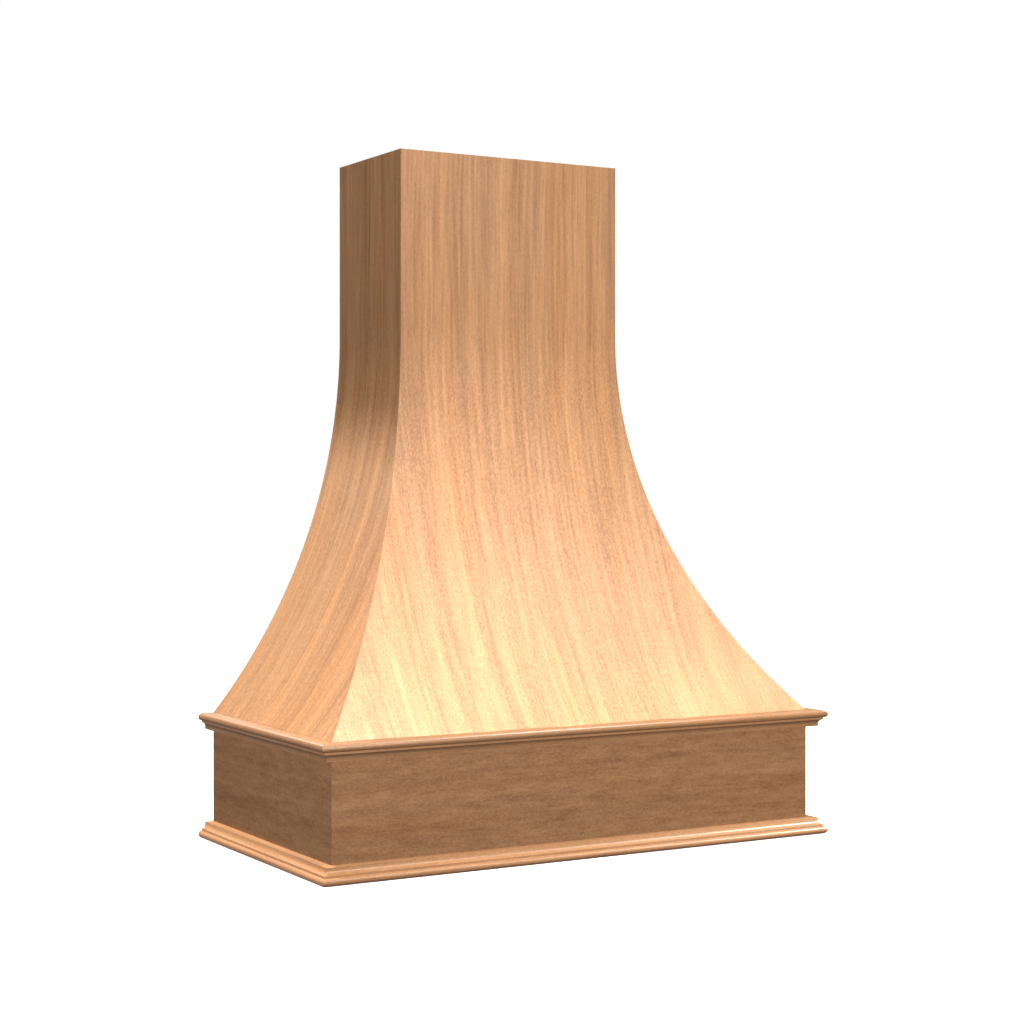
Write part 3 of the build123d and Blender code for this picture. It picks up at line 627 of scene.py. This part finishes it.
def arc(centre, radius, start, end, steps):
    """Points on a circle, from angle start to end in degrees, out to the right and z up."""
    angle = np.radians(np.linspace(start, end, steps))
    return centre + radius * np.stack([np.cos(angle), np.sin(angle)], axis=1)


def hollow(a, b, sag, steps):
    """Circular hollow from point a to point b, whose middle lies sag inside the chord.

    The chord c and the sag s give the radius, (c^2 / 4 + s^2) / 2s.
    """
    a, b = np.array(a), np.array(b)
    chord = np.linalg.norm(b - a)
    radius = (chord**2 / 4 + sag**2) / (2 * sag)
    along = (b - a) / chord
    inwards = np.array([along[1], -along[0]])
    turn = np.linspace(-1, 1, steps)[:, None] * math.asin(chord / 2 / radius)
    middle = (a + b) / 2 + inwards * (sag - radius)
    return middle + radius * (np.sin(turn) * along + np.cos(turn) * inwards)


def moulding_section(ledge_z, flip):
    """Closed section in metres, clockwise, with its ledge at ledge_z; flip hangs it over."""
    under, nose_end = MOULDING_OUT - NOSE_UNDER_R, NOSE_TOP_R + NOSE_UNDER_R
    chain = np.concatenate([
        [(0.0, 0.0)],
        arc((MOULDING_OUT - NOSE_TOP_R, -NOSE_TOP_R), NOSE_TOP_R, 90, 0, steps=12),
        arc((under, -NOSE_TOP_R), NOSE_UNDER_R, 0, -90, steps=10)[1:],
        [(FLAT_OUT, -nose_end)],
        hollow((FLAT_OUT, -FLAT_END), (FOOT_OUT, -COVE_END), COVE_SAG, steps=8),
        [(FOOT_OUT, -MOULDING_H), (0.0, -MOULDING_H)],
    ])
    if flip:
        chain = chain[::-1] * (1, -1)
    return chain * MM + (FLARE, ledge_z)


# %% Make the mouldings
for level, ledge, flip, first_shift in (("upper", BAND_H, False, 50), ("lower", 0.0, True, 40)):
    section = moulding_section(ledge, flip)
    depth = FLARE + MOULDING_OUT * MM - section[:, 0]
    for number, side in enumerate(SIDES):
        strip = carried(f"{level}_{side}_trim", section, depth, side, "run",
                        shift=0.9 * number + first_shift)
        finished(strip, f"{level}_moulding_{side}",
                 [MOULDING_WOOD, BARE_WOOD, END_GRAIN], ease=0.25 * MM)
        paint_faces(strip, lambda i: np.zeros(len(i)))
        strip.visible_diffuse = False
print("mouldings: 6 strips of", len(section), "points")

# %% [markdown]
# ## Frame boards
# Inside are plain boards. Their shapes in the CAD model are right, but its meshes are
# loose triangles with razor edges. So each board is copied, equal points are merged, flat
# areas become whole faces again and the edges are eased. The CAD node stays untouched.
# The lists name the axis that a board's fibres follow, or the way across a rib's sheet.

# %% Eased copy of a CAD node
FLAT_TURN = math.radians(0.5)


def eased_copy(node, name, material, ease):
    """Copy of a CAD mesh: points that agree to the micrometre become one, then a light bevel.

    A triangle that has lost a corner by that is left out.
    """
    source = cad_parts[node].data
    source.calc_loop_triangles()
    points = np.empty(3 * len(source.vertices))
    source.vertices.foreach_get("co", points)
    triangles = np.empty(3 * len(source.loop_triangles), np.int32)
    source.loop_triangles.foreach_get("vertices", triangles)
    _, first, joined = np.unique(np.round(points.reshape(-1, 3), 6), axis=0,
                                 return_index=True, return_inverse=True)
    triangles = joined.reshape(-1)[triangles].reshape(-1, 3)
    whole = (triangles != np.roll(triangles, 1, axis=1)).all(axis=1)
    copy = new_object(name, points.reshape(-1, 3)[first], [triangles[whole]], {})
    flatten = copy.modifiers.new("flat faces made whole", "DECIMATE")
    flatten.decimate_type = "DISSOLVE"
    flatten.angle_limit = FLAT_TURN
    finished(copy, node, [material], ease)


# %% Make the frame boards
BOARDS = {
    "X": ["top_nailer", "mid_nailer", "bottom_nailer", "top_front_rail", "front_mid_rail",
          "frame_front_rail", "frame_back_rail", "front_cleat"],
    "Y": ["top_left_rail", "top_right_rail", "left_mid_rail", "right_mid_rail",
          "frame_left_rail", "frame_right_rail", "left_cleat", "right_cleat"],
    "Z": ["left_front_block", "right_front_block", "left_back_block", "right_back_block"],
}
COS_45 = 0.7071
RIBS = {
    (1, 0, 0): ["front_left_rib", "front_centre_rib", "front_right_rib", "left_front_jack",
                "right_front_jack"],
    (0, 1, 0): ["left_back_stile", "right_back_stile", "left_side_rib", "right_side_rib",
                "left_side_jack", "right_side_jack"],
    (COS_45, COS_45, 0): ["right_hip_rib"],
    (COS_45, -COS_45, 0): ["left_hip_rib"],
}
for axis, nodes in BOARDS.items():
    for node in nodes:
        eased_copy(node, node + "_board", FRAME_WOOD[axis], ease=0.5 * MM)
for across, nodes in RIBS.items():
    label = "_".join(str(round(10 * c)) for c in across)
    rib_ply = plywood(f"rib_ply_{label}", "Z", across, RIB_VENEER, 0.0)
    for node in nodes:
        eased_copy(node, node + "_board", rib_ply, ease=0.5 * MM)
eased_copy("insert_panel", "insert_board", INSERT_PLY, ease=0.4 * MM)
print("frame boards:", sum(map(len, [*BOARDS.values(), *RIBS.values()])) + 1)

# %% [markdown]
# ## Screws
# The wood screws keep their CAD shape, because little more than their heads shows. Zinc
# plating is a bright metal with a faint, cloudy dullness, so one fine noise varies its
# colour and its gloss.

# %% Zinc plating
ZINC_PALE, ZINC_DULL = (0.70, 0.70, 0.66), (0.56, 0.55, 0.50)
ZINC, zinc_tree, zinc = new_material("zinc_plating")
zinc.inputs["Metallic"].default_value = 1.0
cloud = add_node(zinc_tree, "ShaderNodeTexNoise", {"Vector": object_place(zinc_tree),
                 "Scale": 900.0, "Detail": 3.0}).outputs["Fac"]
zinc_tree.links.new(map_range(zinc_tree, cloud, 0.2, 0.5), zinc.inputs["Roughness"])
zinc_tree.links.new(mix_colour(zinc_tree, cloud, ZINC_DULL, ZINC_PALE),
                    zinc.inputs["Base Color"])
for node in ("foot_screws", "back_screws", "cleat_screws", "panel_screws"):
    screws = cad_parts[node]
    if not screws.material_slots:
        screws.data.materials.append(ZINC)
    screws.material_slots[0].material = ZINC
    print(node, len(screws.data.vertices), "points")

# %% [markdown]
# ## Studio
# The cover stands on a plain pale floor in an even white surround. The floor glows a
# little, so that it stays pale far from the lamps too, and it throws no light back, so the
# upright faces keep their depth. Seen from below it is clear, to show the underside.

# %% Floor
FLOOR_HALF, FLOOR_GAP, FLOOR_GLOW = 30.0, 0.3 * MM, 0.86
floor_corners = np.array([(-1, -1), (1, -1), (1, 1), (-1, 1)]) * FLOOR_HALF
floor = new_object("floor", np.column_stack([floor_corners, np.full(4, -FLOOR_GAP)]),
                   [np.arange(4)[None, :]], {})
floor.visible_diffuse = floor.visible_glossy = False
floor_paint, floor_tree, floor_shader = new_material("floor_paint")
floor_cloud = add_node(floor_tree, "ShaderNodeTexNoise", {"Vector": object_place(floor_tree),
                       "Scale": 1.5, "Detail": 2.0}).outputs["Fac"]
floor_tint = mix_colour(floor_tree, floor_cloud, (0.88, 0.88, 0.88), (0.92, 0.92, 0.92))
floor_tree.links.new(floor_tint, floor_shader.inputs["Base Color"])
floor_shader.inputs["Roughness"].default_value = 0.9
floor_shader.inputs["Emission Color"].default_value = (1, 1, 1, 1)
floor_shader.inputs["Emission Strength"].default_value = FLOOR_GLOW
below = add_node(floor_tree, "ShaderNodeNewGeometry").outputs["Backfacing"]
clear = add_node(floor_tree, "ShaderNodeBsdfTransparent").outputs[0]
one_sided = add_node(floor_tree, "ShaderNodeMixShader", {0: below, 1: floor_shader.outputs[0],
                     2: clear}).outputs[0]
floor_tree.links.new(one_sided, floor_tree.nodes["Material Output"].inputs["Surface"])
floor.data.materials.append(floor_paint)
print(f"floor: {2 * FLOOR_HALF:.0f} m square, {1e3 * FLOOR_GAP:.1f} mm under the cover")

# %% Surround
AMBIENT = 0.16
world = bpy.data.worlds.new("studio")
bpy.context.scene.world = world
world.use_nodes = True
sky = world.node_tree
seen = add_node(sky, "ShaderNodeLightPath").outputs["Is Camera Ray"]
sky.links.new(map_range(sky, seen, AMBIENT, 1.0), sky.nodes["Background"].inputs["Strength"])
sky.nodes["Background"].inputs["Color"].default_value = (1, 1, 1, 1)
print("surround: white to the camera, light of strength", AMBIENT)

# %% [markdown]
# ## Lamps
# Soft lamps stand in front and above, two spots light the sweep, and three thin strips of
# light brighten its foot. A studio keeps light off a piece with black flags. Blender's
# light linking does the same: the flagged pieces are left out of the lamp's list of
# receivers. The upper moulding would also throw a dark line on the apron, so it is left
# out of the blockers. The mouldings have small lamps of their own, which draw bright lines
# along their rounds. The lower one on the right gets enough light without them. Weak lamps
# behind, on the right and below serve the views that the picture doesn't show.

# %% Flags
def only(name, pieces):
    """Collection for light linking that holds the named pieces and nothing else."""
    group = bpy.data.collections.new(name)
    for piece in pieces:
        group.objects.link(bpy.data.objects[piece])
    return group


def all_but(name, pieces):
    """Collection for light linking that leaves out the named pieces."""
    group = only(name, pieces)
    for member in group.collection_objects:
        member.light_linking.link_state = "EXCLUDE"
    return group


APRON_BOARDS = [f"{side}_apron_board" for side in SIDES]
UPPER_TRIMS = [f"upper_{side}_trim" for side in SIDES]
LOWER_TRIMS = [f"lower_{side}_trim" for side in SIDES]
WITHOUT_UPPER_TRIMS = all_but("blockers", UPPER_TRIMS)
WITHOUT_APRON = all_but("lit_without_apron", APRON_BOARDS + UPPER_TRIMS + LOWER_TRIMS)
WITHOUT_TRIMS = all_but("lit_without_trims", UPPER_TRIMS + LOWER_TRIMS)
UPPER_ONLY = only("lit_upper_trims_only", UPPER_TRIMS)
LOWER_ONLY = only("lit_lower_trims_only", LOWER_TRIMS[:2])
APRON_ONLY = only("lit_apron_only", APRON_BOARDS)
print("lists for light linking:", len(bpy.data.collections))

# %% Lamps
LAMP_COLOUR = (1.0, 0.97, 0.92)


def lamp(name, kind, place, target, power, receivers=None, **shape):
    """Lamp in metres and watts, aimed from place at target.

    A lamp shines down its own -Z. So it tips by the angle whose cosine is minus the height
    of the unit vector to the target, and then turns to that vector's compass direction.
    receivers lists what it lights, and shape holds more settings of Blender's light.
    """
    light = bpy.data.lights.new(name, kind)
    light.energy, light.color = power, LAMP_COLOUR
    for key, value in shape.items():
        setattr(light, key, value)
    holder = bpy.data.objects.new(name, light)
    bpy.context.scene.collection.objects.link(holder)
    toward = np.array(target) - place
    toward /= np.linalg.norm(toward)
    turn = math.atan2(toward[1], toward[0]) - math.pi / 2
    holder.rotation_euler = (math.acos(-toward[2]), 0, turn)
    holder.location = place
    holder.visible_camera = False
    holder.light_linking.blocker_collection = WITHOUT_UPPER_TRIMS
    holder.light_linking.receiver_collection = receivers
    print(f"{name}: {power} W")


MIDDLE, SOFT = (0.0, 0.0, 0.6), {"size": 0.5}
lamp("ceiling_lamp", "AREA", (-0.2, -0.25, 3.4), MIDDLE, 110, WITHOUT_TRIMS, **SOFT)
lamp("front_lamp", "AREA", (0.61, -2.86, 1.9), MIDDLE, 47, **SOFT)
lamp("left_front_lamp", "AREA", (-2.53, -1.46, 1.9), MIDDLE, 30, **SOFT)
lamp("right_lamp", "AREA", (3.0, 0.6, 1.4), MIDDLE, 35, **SOFT)
lamp("back_lamp", "AREA", (1.2, 2.6, 2.6), MIDDLE, 55, **SOFT)
lamp("under_lamp", "AREA", (0.3, 0.4, -2.2), MIDDLE, 30, **SOFT)

# %% Spots and strips
lamp("left_spot", "SPOT", (-2.76, 1.72, 1.49), (-0.5, 0.22, 0.23), 275, WITHOUT_APRON,
     spot_size=math.radians(20.8), spot_blend=0.12, shadow_soft_size=0.07)
lamp("right_spot", "SPOT", (1.73, -1.7, 2.46), (0.0, -0.25, 0.2), 171, WITHOUT_APRON,
     spot_size=math.radians(35), spot_blend=1.0, shadow_soft_size=0.12)
STRIP = {"shape": "RECTANGLE", "size_y": 0.08}
lamp("foot_strip", "AREA", (0.58, -2.39, 1.47), (0.0, -0.22, 0.17), 0.3, WITHOUT_APRON,
     size=1.0, spread=math.radians(20), **STRIP)
lamp("left_foot_strip", "AREA", (0.33, -0.85, 2.61), (-0.3, -0.22, 0.17), 1.0, WITHOUT_APRON,
     size=0.4, spread=math.radians(20), **STRIP)
lamp("right_foot_strip", "AREA", (0.48, -1.08, 2.61), (0.25, -0.22, 0.17), 0.3, WITHOUT_APRON,
     size=0.5, spread=math.radians(8), **STRIP)

# %% Lamps that draw the bright lines along the mouldings
BOX, SMALL = (0.0, -0.1, 0.1), {"size": 0.3}
lamp("upper_trim_left_lamp", "AREA", (-1.5, -0.1, 2.7), BOX, 38, UPPER_ONLY, **SMALL)
lamp("upper_trim_back_lamp", "AREA", (-0.55, 1.95, 2.22), BOX, 75, UPPER_ONLY, **SMALL)
lamp("upper_trim_right_lamp", "AREA", (1.4, -0.6, 2.7), BOX, 51, UPPER_ONLY, **SMALL)
lamp("lower_trim_back_lamp", "AREA", (-0.75, 1.2, 2.7), BOX, 148, LOWER_ONLY, **SMALL)
lamp("lower_trim_right_lamp", "AREA", (2.25, -1.4, 1.6), BOX, 128, LOWER_ONLY, **SMALL)
lamp("lower_trim_left_lamp", "AREA", (-2.9, -0.1, 0.88), BOX, 35, LOWER_ONLY, **SMALL)
lamp("apron_left_lamp", "AREA", (-2.9, -0.1, 0.88), BOX, 5, APRON_ONLY, **SMALL)

# %% [markdown]
# ## Camera
# The photograph's uprights don't converge, so its camera is level, and the picture is
# framed with a small vertical shift, as with an architect's lens. Focal length and shift
# were found in pixels of the photograph's square frame, and the lens follows from them.

# %% Camera
CAMERA_PLACE, CAMERA_TURN, SENSOR = (-1.7719, -3.04925, 0.6066), math.radians(30.07), 36
FRAME_PIXELS, FOCAL_PIXELS, SHIFT_PIXELS = 1024, 2029.9, -25.3
camera_data = bpy.data.cameras.new("camera")
camera_data.lens = SENSOR * FOCAL_PIXELS / FRAME_PIXELS
camera_data.sensor_width = SENSOR
camera_data.shift_y = SHIFT_PIXELS / FRAME_PIXELS
camera = bpy.data.objects.new("camera", camera_data)
camera.location = CAMERA_PLACE
camera.rotation_euler = (math.pi / 2, 0, -CAMERA_TURN)
bpy.context.scene.collection.objects.link(camera)
bpy.context.scene.camera = camera
bpy.context.scene.view_settings.view_transform = "Standard"
print(f"lens {camera_data.lens:.1f} mm")
